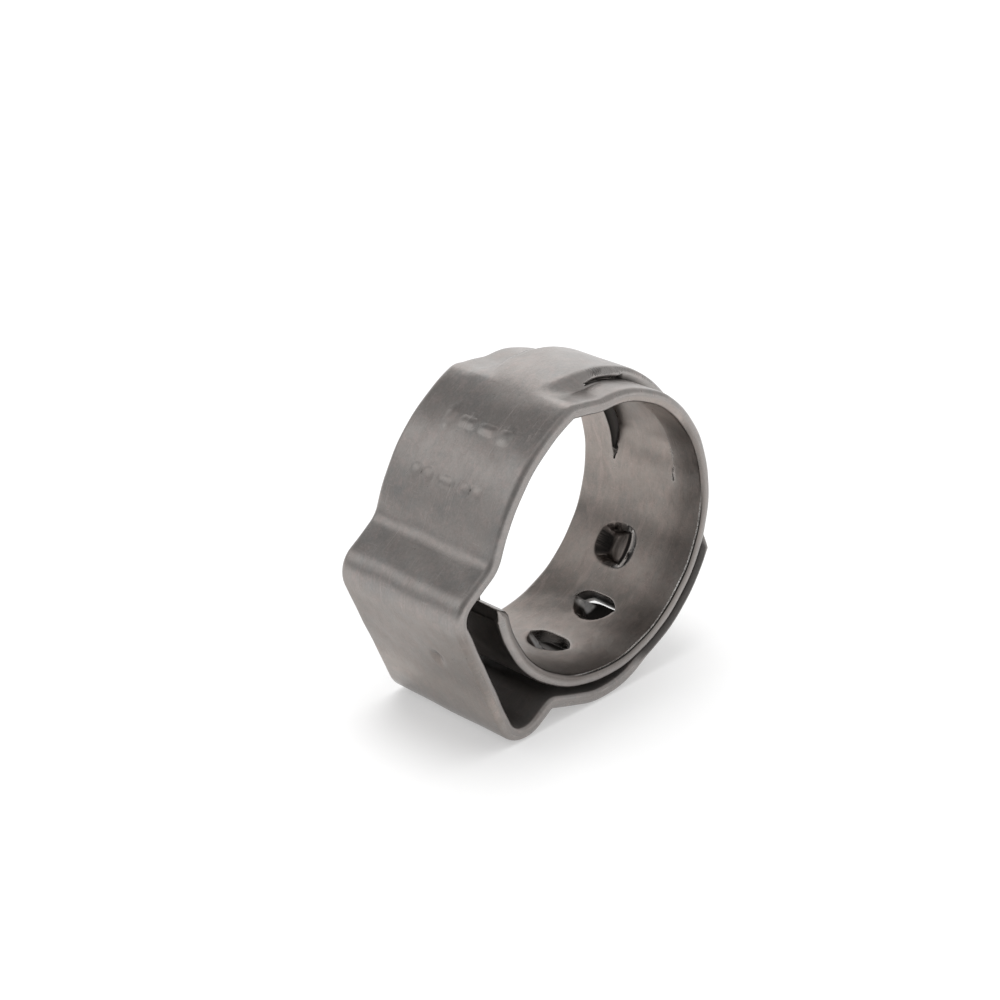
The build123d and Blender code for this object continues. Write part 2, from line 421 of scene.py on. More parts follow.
# counter-clockwise in the (s, u) plane
outline = rounded(
    [(S_TIP, -TAIL_TIP_W / 2), (S_CORNER, -W), (S_SH, -W), (S_SH + 0.05, MID - tw), (S_END, MID - tw + 0.2),
     (S_END + 0.25, MID - 0.6), (S_END + 0.25, MID + 0.6), (S_END, MID + tw - 0.2), (S_SH + 0.05, MID + tw), (S_SH, W), (S_CORNER, W), (S_TIP, TAIL_TIP_W / 2)],
    [0.16, 0.16, 0.12, 0.30, 0.5, 0.4, 0.4, 0.5, 0.30, 0.12, 0.16, 0.16], 0.11)


def hole(points, r, step=0.07):
    return rounded(points, r, step)


holes = []              # (name, polygon counter-clockwise, edge rounding)
for k, (a0, a1, u0, u1) in enumerate(WINDOWS):
    holes.append(("window%d" % k, hole([(s_tail(a1), u0), (s_tail(a0), u0), (s_tail(a0), u1), (s_tail(a1), u1)], 0.35, 0.10), CUT))
for sgn in (1, -1):
    uc = MID + sgn * (CH_HALF + SLIT / 2)
    s0, s1 = s_of(SLIT_A0), s_of(SLIT_A1)
    holes.append(("slit", hole([(s0, uc - SLIT / 2), (s1, uc - SLIT / 2), (s1, uc + SLIT / 2), (s0, uc + SLIT / 2)], 0.0195, 0.10), 0.04))


def lance(line, width, cap=4):
    """A thin closed cut that follows a line in the flat strip, counter-clockwise."""
    line = np.array(line)
    d = np.gradient(line, axis=0)
    d /= np.hypot(d[:, 0], d[:, 1])[:, None]
    n = np.stack([-d[:, 1], d[:, 0]], 1) * width / 2
    a, b = line - n, line + n
    e1, e0 = [], []
    for k in range(1, cap):
        t = math.pi * k / cap
        e1.append(line[-1] - n[-1] * math.cos(t) + d[-1] * math.sin(t) * width / 2)
        e0.append(line[0] + n[0] * math.cos(t) - d[0] * math.sin(t) * width / 2)
    return np.array(list(a) + e1 + list(b[::-1]) + e0)


LANCE = 0.028
for sh in S_HOOK:
    v = np.linspace(-HOOK_END, HOOK_END, 47)
    holes.append(("hook", lance(np.stack([sh + hook_cut(v) - LANCE / 2, MID + v], 1), LANCE), 0.045))
w = np.sin(np.linspace(-math.pi / 2, math.pi / 2, 49)) * 0.998
holes.append(("lug", lance(np.stack([S_LUG + w * LUG_L, lug_cut(w) + LANCE / 2], 1), LANCE), 0.045))


def inside(pts, poly):
    """Even-odd test of many points against one polygon."""
    x, y = pts[:, 0], pts[:, 1]
    res = np.zeros(len(pts), bool)
    ax, ay = poly[:, 0], poly[:, 1]
    bx, by = np.roll(ax, -1), np.roll(ay, -1)
    for i in range(len(poly)):
        cond = (ay[i] > y) != (by[i] > y)
        if cond.any():
            xi = ax[i] + (y[cond] - ay[i]) * (bx[i] - ax[i]) / (by[i] - ay[i])
            hit = np.zeros(len(pts), bool)
            hit[np.where(cond)[0][x[cond] < xi]] = True
            res ^= hit
    return res


# --- points: rings along every edge, and a grid that tightens in bends ---------
V2, E2, kinds = [], [], []          # kinds: which boundary ring a point belongs to
count = 0
ring_info = []
boundary_loops = []


def put_ring(poly, edge, tag):
    global count
    i0 = count
    n = len(poly)
    V2.append(poly)
    count += n
    if edge:
        idx = np.arange(i0, i0 + n)
        E2.extend(zip(idx.tolist(), np.roll(idx, -1).tolist()))
        boundary_loops.append((idx, tag))
    return i0


def rings(poly, r, inward, turns=(30, 52, 72, 90)):
    """The boundary loop and its rounding rings; inward is +1 for the outline, -1 for a hole."""
    put_ring(poly, True, r)
    for phi in turns:
        d = r * (1 - math.cos(math.radians(phi)))
        put_ring(offset(poly, d * inward), False, r)


rings(outline, EDGE_MAX, 1, (16, 28, 40, 52, 63, 76, 90))
for name, poly, r in holes:
    rings(poly, r, -1)

zones = []                          # (s0, s1, u0, u1, step)
for sh in S_HOOK:
    zones.append((sh - 0.12, sh + HOOK_L * 1.18, MID - HOOK_W * 1.18, MID + HOOK_W * 1.18, 0.055))
zones.append((S_LUG - LUG_L * 1.2, S_LUG + LUG_L * 1.2, LUG_U0 - 0.3, LUG_U1 + 0.12, 0.055))
zones.append((s_of(121.5), s_of(84.0), MID + CH_HALF - 0.62, MID + CH_HALF + 0.66, 0.07))
zones.append((s_of(121.5), s_of(84.0), MID - CH_HALF - 0.66, MID - CH_HALF + 0.62, 0.07))
zones.append((s_of(84.0), s_of(24.0), MID + CH_HALF - 0.36, MID + CH_HALF + 0.14, 0.07))
zones.append((s_of(84.0), s_of(24.0), MID - CH_HALF - 0.14, MID - CH_HALF + 0.36, 0.07))
zones.append((S_SH - 0.62, S_SH, -W + 0.12, MID - TONGUE_W + 0.2, 0.07))
zones.append((S_SH - 0.62, S_SH, MID + TONGUE_W - 0.2, W - 0.12, 0.07))
zones.append((s_of(24.0), s_of(13.5), MID + CH_HALF - 0.20, MID + CH_HALF + 0.22, 0.055))
zones.append((s_of(24.0), s_of(13.5), MID - CH_HALF - 0.22, MID - CH_HALF + 0.20, 0.055))
zones.append((S_CROWN + 1.3, S_CROWN + 4.2, -2.45, 2.45, 0.075))
zones.append((S_DIMPLE - 0.7, S_DIMPLE + 0.7, DIMPLE[2] - 0.6, DIMPLE[2] + 0.6, 0.08))

seg_r = []
for kind, length, d in segs:
    seg_r.append(d[1] if kind == "arc" else 99.0)
s_lines = []
s = 0.09
while s < S_END + 0.2:
    s_lines.append(s)
    if s < S_SPLIT:
        k = int(np.clip(np.searchsorted(seg_at, s, side="right") - 1, 0, len(segs) - 1))
        near = min(seg_r[max(0, k - (s - seg_at[k] < 0.2)):k + 1 + (seg_at[min(k + 1, len(segs))] - s < 0.2)])
        step = min(0.26, max(0.045, 0.12 * near))
    else:
        a = float(a_of(s))
        step = 0.13 if a > 88 or 12 < a < 33 else 0.24
    s += step
s_lines = np.array(s_lines)
grid = []
for k, s in enumerate(s_lines):
    u = np.arange(-W + 0.1, W - 0.05, 0.24) + (0.12 if k % 2 else 0.0)
    grid.append(np.stack([np.full_like(u, s), u], 1))
grid = np.concatenate(grid)
for z in zones:
    grid = grid[~((grid[:, 0] > z[0]) & (grid[:, 0] < z[1]) & (grid[:, 1] > z[2]) & (grid[:, 1] < z[3]))]
    xs = np.arange(z[0], z[1] + 1e-6, z[4] * 0.9)
    fine = []
    for k, x in enumerate(xs):
        y = np.arange(z[2], z[3] + 1e-6, z[4]) + (z[4] / 2 if k % 2 else 0)
        fine.append(np.stack([np.full_like(y, x), y], 1))
    grid = np.concatenate([grid] + fine)

# keep grid points inside the sheet and clear of the rings
keep = inside(grid, offset(outline, EDGE_MAX + 0.05)) & inside(grid, outline)
grid = grid[keep]
for name, poly, r in holes:
    lo, hi = poly.min(0) - 0.3, poly.max(0) + 0.3
    near = (grid[:, 0] > lo[0]) & (grid[:, 0] < hi[0]) & (grid[:, 1] > lo[1]) & (grid[:, 1] < hi[1])
    idx = np.where(near)[0]
    bad = inside(grid[idx], offset(poly, -(r + 0.028)))
    grid = np.delete(grid, idx[bad], 0)
V2.append(grid)
pts = np.concatenate(V2)

verts, edges_, faces, *_ = delaunay_2d_cdt([Vector(p) for p in pts.tolist()], E2, [], 0, 1e-7)
P2 = np.array([tuple(v) for v in verts])
F = np.array([f for f in faces if len(f) == 3], int)
cen = P2[F].mean(1)
ok = inside(cen, outline)
for name, poly, r in holes:
    lo, hi = poly.min(0), poly.max(0)
    near = np.where((cen[:, 0] > lo[0]) & (cen[:, 0] < hi[0]) & (cen[:, 1] > lo[1]) & (cen[:, 1] < hi[1]))[0]
    ok[near[inside(cen[near], poly)]] = False
F = F[ok]
area = ((P2[F[:, 1]] - P2[F[:, 0]]) * (P2[F[:, 2]] - P2[F[:, 0]])[:, ::-1] * [1, -1]).sum(1)
F[area < 0] = F[area < 0][:, ::-1]

# --- distance of every point to the outline and to the cuts -------------------


def seg_dist(p, poly):
    a, b = poly, np.roll(poly, -1, 0)
    ab = b - a
    L2 = (ab ** 2).sum(1)
    out = np.full(len(p), 1e9)
    for i in range(len(a)):
        t = np.clip(((p - a[i]) @ ab[i]) / L2[i], 0, 1)
        d = np.hypot(p[:, 0] - a[i, 0] - t * ab[i, 0], p[:, 1] - a[i, 1] - t * ab[i, 1])
        out = np.minimum(out, d)
    return out


def close_to(p, poly, reach):
    lo, hi = poly.min(0) - reach, poly.max(0) + reach
    m = (p[:, 0] > lo[0]) & (p[:, 0] < hi[0]) & (p[:, 1] > lo[1]) & (p[:, 1] < hi[1])
    out = np.full(len(p), 9.0)
    idx = np.where(m)[0]
    for i0 in range(0, len(idx), 20000):
        part = idx[i0:i0 + 20000]
        out[part] = seg_dist(p[part], poly)
    return out


edge_band = (np.abs(P2[:, 1]) > W - 0.6) | (P2[:, 0] < S_CORNER + 0.6) | (P2[:, 0] > S_SH - 0.6)
d_out = np.full(len(P2), 9.0)
d_out[edge_band] = seg_dist(P2[edge_band], outline)
# the tail's end and the tongue are sheared, the long sides are rolled round
sheared = (P2[:, 0] < S_CORNER - 0.15) | (P2[:, 0] > S_SH - 0.1)
r_out = np.where(sheared, 0.07, EDGE)
trans = ss(P2[:, 0], S_CORNER - 0.5, S_CORNER + 0.4) * (1 - ss(P2[:, 0], S_SH - 0.5, S_SH + 0.4))
r_out = 0.07 + (EDGE - 0.07) * trans
tail = 1 - ss(P2[:, 0], s_tail(-54.0), s_tail(-64.0))       # the tail, lying on the inner layer
under = ss(P2[:, 0], s_of(6.0), s_of(-2.0)) * (1 - ss(P2[:, 0], s_of(-46.0), s_of(-62.0)))
r_top = r_out + (0.13 + 0.06 * under) * trans
bore_edge = ss(P2[:, 0], s_of(60.0), s_of(40.0)) * (1 - ss(P2[:, 0], s_of(-80.0), s_of(-100.0))) * (P2[:, 1] > 0)
r_bot = r_out + (0.06 + 0.04 * tail - 0.10 * bore_edge) * trans

d_cut = np.full(len(P2), 9.0)
r_cut = np.full(len(P2), CUT)
for name, poly, r in holes:
    d = close_to(P2, poly, 0.5)
    m = d < d_cut
    d_cut[m], r_cut[m] = d[m], r

# which way to step for derivatives: away from slits and lances
side_s, side_u = np.ones(len(P2)), np.ones(len(P2))
side_s[P2[:, 0] > S_END + 0.1] = -1
for sgn in (1, -1):
    uc = MID + sgn * (CH_HALF + SLIT / 2)
    m = np.abs(P2[:, 1] - uc) < 0.3
    side_u[m] = np.where(P2[m, 1] > uc, 1, -1)
for sh in S_HOOK:
    x = P2[:, 0] - sh - hook_cut(P2[:, 1] - MID) + LANCE / 2
    m = (np.abs(x) < 0.25) & (np.abs(P2[:, 1] - MID) < 1.3)
    side_s[m] = np.where(x[m] > 0, 1, -1)
    out = m & (P2[:, 1] > MID + 0.6)
    side_u[out] = np.where(x[out] > 0, -1, 1)
    out = m & (P2[:, 1] < MID - 0.6)
    side_u[out] = np.where(x[out] > 0, 1, -1)
w = (P2[:, 0] - S_LUG) / LUG_L
x = P2[:, 1] - lug_cut(w) - LANCE / 2
m = (np.abs(x) < 0.25) & (np.abs(w) < 1.15) & (P2[:, 1] > LUG_C - 0.1)
side_u[m] = np.where(x[m] > 0, 1, -1)
out = m & (w > 0.6)
side_s[out] = np.where(x[out] > 0, 1, -1)
out = m & (w < -0.6)
side_s[out] = np.where(x[out] > 0, -1, 1)

Q = P2.copy()
for sh in S_HOOK:                   # both lips of a cut are taken on their own side of it
    x = P2[:, 0] - sh - hook_cut(P2[:, 1] - MID)
    m = (x > -LANCE / 2) & (x < 1e-5) & (np.abs(P2[:, 1] - MID) < HOOK_END + 0.02)
    Q[m, 0] += 2e-5 - x[m]
x = P2[:, 1] - lug_cut(w)
m = (x < LANCE / 2) & (x > -1e-5) & (np.abs(w) < 1.0)
Q[m, 1] -= x[m] + 2e-5
P, N, half = surface(Q[:, 0], Q[:, 1], side_s, side_u)


def drop(d, r, t):
    r = np.minimum(r, t * 0.85)
    x = np.clip(r - d, 0, None)
    return r - np.sqrt(np.clip(r * r - x * x, 0, None))


cut_drop = drop(d_cut, r_cut, half)
u_lip = np.abs(P2[:, 1] - MID) - CH_HALF - SLIT / 2      # the raised strip's lips are dragged down
dragged = (u_lip < 0) & (u_lip > -0.5) & (P2[:, 0] > s_of(103.5)) & (P2[:, 0] < s_of(20.0))
r_lip = 0.055 + 0.20 * (1 - ss(a_of(P2[:, 0]), 95.0, 103.0)) * ss(a_of(P2[:, 0]), 20.0, 40.0)
cut_drop_top = np.where(dragged, drop(d_cut, r_lip, half), cut_drop)
thinned = 0.10 * (1 - ss(d_out, 0.0, 0.55)) * tail * (P2[:, 1] > 0)
h_top = np.maximum(half - drop(d_out, r_top, half) - cut_drop_top - thinned, 0.02)
h_bot = np.maximum(half - drop(d_out, r_bot, half) - cut_drop, 0.02)
top, bot = P + N * h_top[:, None], P - N * h_bot[:, None]

nv = len(P2)
tris = [F, F[:, ::-1] + nv]
# walls between the two faces along every boundary edge
cnt = {}
for f in F:
    for i in range(3):
        a, b = int(f[i]), int(f[(i + 1) % 3])
        cnt[(a, b)] = cnt.get((a, b), 0) + 1
wall = [(a, b) for (a, b) in cnt if (b, a) not in cnt]
quads = [(b, a, a + nv, b + nv) for a, b in wall]

allv = np.concatenate([top, bot])
p, q, u = allv[:, 0], allv[:, 1], allv[:, 2]
X = p * math.cos(TILT) + q * math.sin(TILT)
Z = -p * math.sin(TILT) + q * math.cos(TILT)
Z = np.maximum(Z, cad_lo[2] * 1000)     # worn flats where the clamp stands
co = np.stack([X, -u, Z], 1) / 1000.0

me = bpy.data.meshes.new("clamp_strip")
face_list = [tuple(f) for f in np.concatenate(tris).tolist()] + quads
me.from_pydata(co.tolist(), [], face_list)
me.validate()
# keep normals outward
tot = 0.0
tri = co[np.concatenate(tris)]
tot = float(np.einsum("ij,ij->i", tri[:, 0], np.cross(tri[:, 1], tri[:, 2])).sum())
if tot < 0:
    me.flip_normals()
me.update()
me.polygons.foreach_set("use_smooth", [True] * len(me.polygons))


def attribute(name, values):
    a = me.attributes.new(name, "FLOAT", "POINT")
    a.data.foreach_set("value", np.asarray(values, np.float32))


def attribute3(name, values):
    a = me.attributes.new(name, "FLOAT_VECTOR", "POINT")
    a.data.foreach_set("vector", np.asarray(values, np.float32).ravel())


edge_near = np.exp(-np.minimum(d_out, 3) / 0.16)
cut_near = np.exp(-np.minimum(d_cut, 3) / 0.10)
face_side = np.concatenate([np.ones(nv), -np.ones(nv)])
strip = np.stack([np.concatenate([P2[:, 0]] * 2), np.concatenate([P2[:, 1]] * 2), face_side * 3], 1)
attribute3("strip", strip)
attribute("rim", np.concatenate([edge_near] * 2))
attribute("cut", np.concatenate([cut_near] * 2))
# painted shade in the pockets of the drawn forms, with a painted highlight near each hook's closed end
pocket_shade, pocket_highlight = np.zeros(nv), np.zeros(nv)
for sh in S_HOOK:
    x, v = P2[:, 0] - sh, P2[:, 1] - MID
    rho = np.sqrt(np.clip(x / HOOK_L, 0, None) ** 2 + (v / HOOK_W) ** 2)
    on = x - hook_cut(v) > -1e-3
    deep = np.where(on, 1 - ss(rho, 0.86, 1.00), 0)
    # painted highlight: a light patch near each hook's closed end, parted by a thin darker line
    highlight_patch = np.where(on, ss(-v / HOOK_W, 0.56, 0.68) * ss(x / HOOK_L, 0.12, 0.22) * (1 - ss(x / HOOK_L, 0.50, 0.66)) * (1 - ss(rho, 0.97, 1.06)), 0)
    split = 1 - 0.85 * np.exp(-((v + 0.34 + 0.25 * (x - 1.0)) / 0.05) ** 2)
    pocket_highlight = np.maximum(pocket_highlight, highlight_patch * split)
    pocket_shade = np.maximum(pocket_shade, deep * (1 - highlight_patch))
# painted shade on the guide lug's far wall, in a dark line along its cut and just outside the cut
y = P2[:, 1] - LUG_C
rho = (np.abs(w) ** LUG_P + np.abs(np.minimum(y, 0) / LUG_FAR) ** LUG_P) ** (1 / LUG_P)
on = P2[:, 1] <= lug_cut(w) + 1e-3
gap_line = (1 - ss(lug_cut(w) - P2[:, 1], 0.17, 0.30)) * ss(d_cut, 0.005, 0.04) * (np.abs(w) < 1)
crescent = np.maximum(ss(-y + 0.10 * w, 1.06, 1.16), ss(np.abs(w), 0.975, 1.02))
pocket_shade = np.maximum(pocket_shade, np.where(on, np.maximum(crescent * (1 - ss(rho, 1.01, 1.09)), gap_line), 0))
lug_poly = next(poly for name, poly, r in holes if name == "lug")
d_lug = close_to(P2, lug_poly, 0.3)
pocket_shade = np.maximum(pocket_shade, np.where(~on, 0.9 * (1 - ss(d_lug, 0.02, 0.07)), 0))
attribute("pocket_shade", np.concatenate([pocket_shade * 0, pocket_shade]))
attribute("pocket_highlight", np.concatenate([pocket_highlight * 0, pocket_highlight]))
# painted shade: between the layers, inside the ear and on the walls of the slits
a_all = a_of(P2[:, 0])
past = P2[:, 0] > S_SPLIT
slot_top, slot_bot = np.zeros(nv), np.zeros(nv)
for name, poly, r in holes:
    if name == "slit":
        uc = float(poly[:, 1].mean())
        near_wall = 1 - ss(close_to(P2, poly, 0.3), 0.0, 0.035)
        raised_lip = np.abs(P2[:, 1] - MID) < abs(uc - MID)
        if uc > MID:
            fade = 0.25 + 0.75 * ss(a_all, 58.0, 84.0)
            slot_top = np.maximum(slot_top, near_wall * np.where(raised_lip, 0.0, 0.35) * fade)
            slot_bot = np.maximum(slot_bot, near_wall * np.where(raised_lip, 1.0, 0.55) * fade)
        else:
            slot_top = np.maximum(slot_top, near_wall * np.where(raised_lip, 0.0, 0.35))
            slot_bot = np.maximum(slot_bot, near_wall)
in_gap = ss(d_out, 0.10, 0.20)
gap_shade_top = np.where(past, under * in_gap, 0)
gap_shade_bot = np.where(past, 0, np.maximum(np.maximum(0.42 * (1 - tail) * in_gap, tail * (0.72 + 0.23 * in_gap)), 0.05 * ss(P2[:, 0], s_tail(-62.0), s_tail(-50.0) + 2.0) * (P2[:, 0] < S_CROWN)))
attribute("gap_shade", np.clip(np.concatenate([np.maximum(gap_shade_top, slot_top), np.maximum(gap_shade_bot, slot_bot)]), 0, 1))
# painted shade and light over the bore, in broad soft darker and lighter zones
painted_shading = 0.95 - 0.26 * ss(a_all, 52, 64) - 0.25 * ss(-a_all, -20, 12) + 0.22 * np.exp(-((a_all + 42) / 8) ** 2) \
    + 0.20 * np.exp(-((a_all + 4) / 5) ** 2) - 0.12 * np.exp(-((a_all + 62) / 9) ** 2)
painted_shading = painted_shading * (1 - 0.42 * ss(P2[:, 1], 1.2, 2.8) * (1 - ss(a_all, 46, 60))) * (1 + 0.45 * ss(P2[:, 1], -1.5, 0.5) * ss(a_all, 50, 62))
painted_shading = np.where(past, 1 + (painted_shading - 1) * ss(P2[:, 0], s_of(104), s_of(92)), 1)
f0, f1 = seg_at[face_k], seg_at[face_k + 1]
x = (P2[:, 0] - f0) / (f1 - f0)         # 0 at the lower end of the ear's face, 1 at the upper
# painted shade over the upper part of the ear's flat face
face_shading = 1 - 0.27 * ss(x, 0.22, 0.50) * (1 - ss(x, 0.95, 1.08))
attribute("painted_shading", np.concatenate([face_shading, painted_shading]))
attribute("warm", np.concatenate([ss(x, -0.1, 0.2) * (1 - ss(x, 0.95, 1.1)), ss(P2[:, 0], s_of(104), s_of(92))]))
attribute("edge_d", np.concatenate([np.minimum(d_out, 0.7)] * 2))
# painted highlight line and painted dark line along the bore's front edge, inner face only
painted_edge_lines = ss(P2[:, 0], s_of(20), s_of(0)) * (1 - ss(P2[:, 0], s_of(-84), s_of(-100))) * (P2[:, 1] > 2)
attribute("painted_edge_lines", np.concatenate([painted_edge_lines * 0, painted_edge_lines]))
attribute("inner", np.concatenate([np.zeros(nv), np.ones(nv)]) * (strip[:, 0] > s_of(100)))

clamp = bpy.data.objects.new("strip_clamp", me)
bpy.context.scene.collection.objects.link(clamp)
print("points", nv, "faces", len(me.polygons), "signed volume", tot)

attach(clamp, "root")
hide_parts("clamp_band")

# ---------------------------------------------------------------------------
# Satin stainless
# ---------------------------------------------------------------------------
mat = bpy.data.materials.new("satin_stainless")
mat.use_nodes = True
nt = mat.node_tree
nt.nodes.clear()
L = nt.links.new


def node(kind, **kw):
    n = nt.nodes.new(kind)
    for k, v in kw.items():
        setattr(n, k, v)
    return n


def attr(name):
    n = node("ShaderNodeAttribute", attribute_name=name, attribute_type="GEOMETRY")
    return n


def mapping(src, scale):
    n = node("ShaderNodeMapping")
    n.inputs["Scale"].default_value = scale
    L(src, n.inputs["Vector"])
    return n.outputs["Vector"]


def noise(vec, scale, detail=4.0, rough=0.55, dist=0.0):
    n = node("ShaderNodeTexNoise")
    n.inputs["Scale"].default_value = scale
    n.inputs["Detail"].default_value = detail
    n.inputs["Roughness"].default_value = rough
    n.inputs["Distortion"].default_value = dist
    L(vec, n.inputs["Vector"])
    return n.outputs["Fac"]


def ramp(fac, stops):
    n = node("ShaderNodeValToRGB")
    e = n.color_ramp.elements
    while len(e) < len(stops):
        e.new(0.5)
    for k, (pos, c) in enumerate(stops):
        e[k].position = pos
        e[k].color = (c, c, c, 1) if not isinstance(c, tuple) else (*c, 1)
    L(fac, n.inputs["Fac"])
    return n.outputs["Color"]


def math_(op, a, b=None, c=None, clamp_=False):
    n = node("ShaderNodeMath", operation=op, use_clamp=clamp_)
    for k, v in enumerate((a, b, c)):
        if v is None:
            continue
        if isinstance(v, (int, float)):
            n.inputs[k].default_value = v
        else:
            L(v, n.inputs[k])
    return n.outputs[0]


def mix(fac, a, b, kind="MIX"):
    n = node("ShaderNodeMix", data_type="RGBA", blend_type=kind)
    for key, v in ((0, fac), (6, a), (7, b)):
        if isinstance(v, (int, float)):
            n.inputs[key].default_value = v
        elif isinstance(v, tuple):
            n.inputs[key].default_value = (*v, 1)
        else:
            L(v, n.inputs[key])
    return n.outputs[2]


strip_v = attr("strip").outputs["Vector"]
rim = attr("rim").outputs["Fac"]
cut = attr("cut").outputs["Fac"]
inner = attr("inner").outputs["Fac"]

# slow stains, brown to grey, then finer mottling
stain = noise(mapping(strip_v, (0.32, 0.42, 1.0)), 1.0, 5.0, 0.6, 0.6)
cloud = noise(mapping(strip_v, (1.3, 1.5, 1.0)), 1.0, 6.0, 0.62, 0.3)
blot = noise(mapping(strip_v, (2.6, 2.9, 1.7)), 1.0, 5.0, 0.65, 0.8)
fine = noise(mapping(strip_v, (9.0, 9.0, 1.0)), 1.0, 5.0, 0.6)
grit = noise(mapping(strip_v, (26.0, 26.0, 1.0)), 1.0, 3.0, 0.6)
grain = noise(mapping(strip_v, (1.6, 42.0, 1.0)), 1.0, 3.0, 0.55)
hair = noise(mapping(strip_v, (0.9, 95.0, 1.0)), 1.0, 2.0, 0.5)
scuff = noise(mapping(strip_v, (0.75, 1.9, 2.3)), 1.0, 4.0, 0.6, 0.4)
# sparse long scratches along the strip, a few across it
long_ = noise(mapping(strip_v, (0.35, 30.0, 1.3)), 1.0, 1.0, 0.4, 0.25)
cross = noise(mapping(strip_v, (24.0, 1.1, 2.1)), 1.0, 1.0, 0.4, 0.5)
lines = math_("MAXIMUM", ramp(long_, [(0.66, 0.0), (0.71, 1.0)]), math_("MULTIPLY", ramp(cross, [(0.70, 0.0), (0.75, 1.0)]), 0.6))
lines = math_("MULTIPLY", lines, ramp(cloud, [(0.45, 0.0), (0.60, 1.0)]))

tone = ramp(stain, [(0.30, (0.243, 0.240, 0.236)), (0.52, (0.290, 0.273, 0.260)), (0.72, (0.330, 0.303, 0.288))])
tone = mix(ramp(cloud, [(0.36, 0.0), (0.68, 0.75)]), tone, (0.246, 0.216, 0.203))
tone = mix(ramp(blot, [(0.50, 0.0), (0.70, 0.70)]), tone, (0.345, 0.292, 0.276))
tone = mix(ramp(blot, [(0.28, 0.55), (0.44, 0.0)]), tone, (0.215, 0.212, 0.206))
tone = mix(ramp(fine, [(0.45, 0.0), (0.80, 0.40)]), tone, (0.38, 0.362, 0.350))
tone = mix(ramp(grit, [(0.30, 0.32), (0.46, 0.0)]), tone, (0.180, 0.170, 0.164))
tone = mix(ramp(grain, [(0.42, 0.0), (0.70, 0.26)]), tone, (0.36, 0.343, 0.330))
tone = mix(math_("MULTIPLY", lines, 0.35), tone, (0.52, 0.50, 0.485))
# bore: scuffed patches with bright flecks, then the painted shade and light of the bore and the ear's face
patch = math_("MULTIPLY", ramp(scuff, [(0.50, 0.0), (0.66, 1.0)]), inner)
tone = mix(math_("MULTIPLY", patch, 0.42), tone, (0.42, 0.365, 0.348))
fleck = math_("MULTIPLY", ramp(grit, [(0.60, 0.0), (0.68, 1.0)]), patch)
tone = mix(math_("MULTIPLY", fleck, 0.55), tone, (0.70, 0.67, 0.655))
shading_v = math_("MULTIPLY", attr("painted_shading").outputs["Fac"], math_("ADD", 0.90, math_("MULTIPLY", cloud, 0.20)))
shading_c = node("ShaderNodeCombineColor")
for k in ("Red", "Green", "Blue"):
    L(shading_v, shading_c.inputs[k])
tone = mix(1.0, tone, shading_c.outputs["Color"], "MULTIPLY")
tone = mix(attr("warm").outputs["Fac"], tone, mix(1.0, tone, (1.03, 0.985, 0.945), "MULTIPLY"))
# polished edges
tone = mix(math_("MULTIPLY", rim, 0.12), tone, (0.46, 0.435, 0.42))
tone = mix(math_("MULTIPLY", cut, 0.30), tone, (0.44, 0.43, 0.42))
edge_d = attr("edge_d").outputs["Fac"]
# painted dark line next to the edge, then a painted highlight line just inside it
painted_edge_lines = math_("MULTIPLY", attr("painted_edge_lines").outputs["Fac"], ramp(math_("ADD", math_("MULTIPLY", fine, 0.6), math_("MULTIPLY", scuff, 0.4)), [(0.40, 0.25), (0.52, 1.0)]))
dark_line = ramp(edge_d, [(0.006, 0.0), (0.018, 1.0), (0.052, 1.0), (0.062, 0.0)])
light_line = ramp(edge_d, [(0.060, 0.0), (0.068, 1.0), (0.115, 1.0), (0.130, 0.0)])
tone = mix(math_("MULTIPLY", math_("MULTIPLY", attr("painted_edge_lines").outputs["Fac"], dark_line), 0.92), tone, (0.015, 0.014, 0.013))
tone = mix(math_("MULTIPLY", painted_edge_lines, light_line), tone, (1.0, 0.99, 0.97))
# painted shade: near black in the hook and lug pockets, between the layers and on the slit walls
tone = mix(math_("MULTIPLY", attr("pocket_shade").outputs["Fac"], 0.94), tone, (0.020, 0.018, 0.017))
tone = mix(math_("MULTIPLY", attr("gap_shade").outputs["Fac"], 0.95), tone, (0.016, 0.015, 0.014))
# painted highlight near each hook's closed end
tone = mix(attr("pocket_highlight").outputs["Fac"], tone, (0.97, 0.96, 0.95))

painted_shade = math_("MAXIMUM", attr("pocket_shade").outputs["Fac"], attr("gap_shade").outputs["Fac"])
rough = math_("ADD", 0.205, math_("MULTIPLY", cloud, 0.14))
rough = math_("ADD", rough, math_("MULTIPLY", fine, 0.06))
rough = math_("ADD", rough, math_("MULTIPLY", patch, 0.06))
rough = math_("SUBTRACT", rough, math_("MULTIPLY", rim, 0.02))
rough = math_("SUBTRACT", rough, math_("MULTIPLY", cut, 0.06), clamp_=True)
# rougher where shade is painted
rough = math_("ADD", rough, math_("MULTIPLY", painted_shade, 0.5), clamp_=True)

bump1 = node("ShaderNodeBump")
bump1.inputs["Strength"].default_value = 0.35
bump1.inputs["Distance"].default_value = 0.000012
L(math_("ADD", math_("ADD", math_("MULTIPLY", grain, 0.7), math_("MULTIPLY", hair, 0.5)),
        math_("SUBTRACT", math_("MULTIPLY", grit, 0.5), math_("MULTIPLY", lines, 0.6))), bump1.inputs["Height"])
bump2 = node("ShaderNodeBump")
bump2.inputs["Strength"].default_value = 0.5
bump2.inputs["Distance"].default_value = 0.00003
L(cloud, bump2.inputs["Height"])
L(bump1.outputs["Normal"], bump2.inputs["Normal"])

bsdf = node("ShaderNodeBsdfPrincipled")
